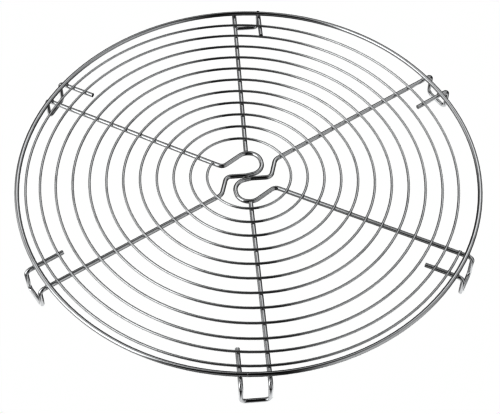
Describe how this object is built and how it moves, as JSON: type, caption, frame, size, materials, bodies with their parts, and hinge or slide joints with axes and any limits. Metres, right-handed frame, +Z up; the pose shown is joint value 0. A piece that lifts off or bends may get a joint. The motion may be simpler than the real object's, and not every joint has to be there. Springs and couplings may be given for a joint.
{
  "type": "cooling rack",
  "caption": "Round chrome-plated wire cooling rack: a flat spiral grid and rim ring welded on radiating arms that bend down into wire feet.",
  "frame": {"origin": "middle of the rack on the flat surface that its feet stand on", "axes": "+Z up, +Y outwards along the back arm, +X to the right with the front arm towards the viewer"},
  "size_m": [0.323, 0.3338, 0.0237],
  "materials": {
    "rim_wire": "bright chrome plating on thick drawn steel wire",
    "spiral_wire": "bright chrome plating on thin drawn steel wire, faint drawing lines along its length",
    "arm_wire": "bright chrome plating on drawn and bent steel wire, slightly dulled at the bends",
    "weld_metal": "plated resistance weld, a little rough and duller than the wire"
  },
  "bodies": {
    "root": {"rim_ring": "rim_wire", "spiral_wire": "spiral_wire", "left_s_wire": "arm_wire", "right_s_wire": "arm_wire", "back_arm": "arm_wire", "front_arm": "arm_wire", "rim_welds": "weld_metal", "spiral_welds": "weld_metal", "hub_welds": "weld_metal"}
  },
  "joints": []
}
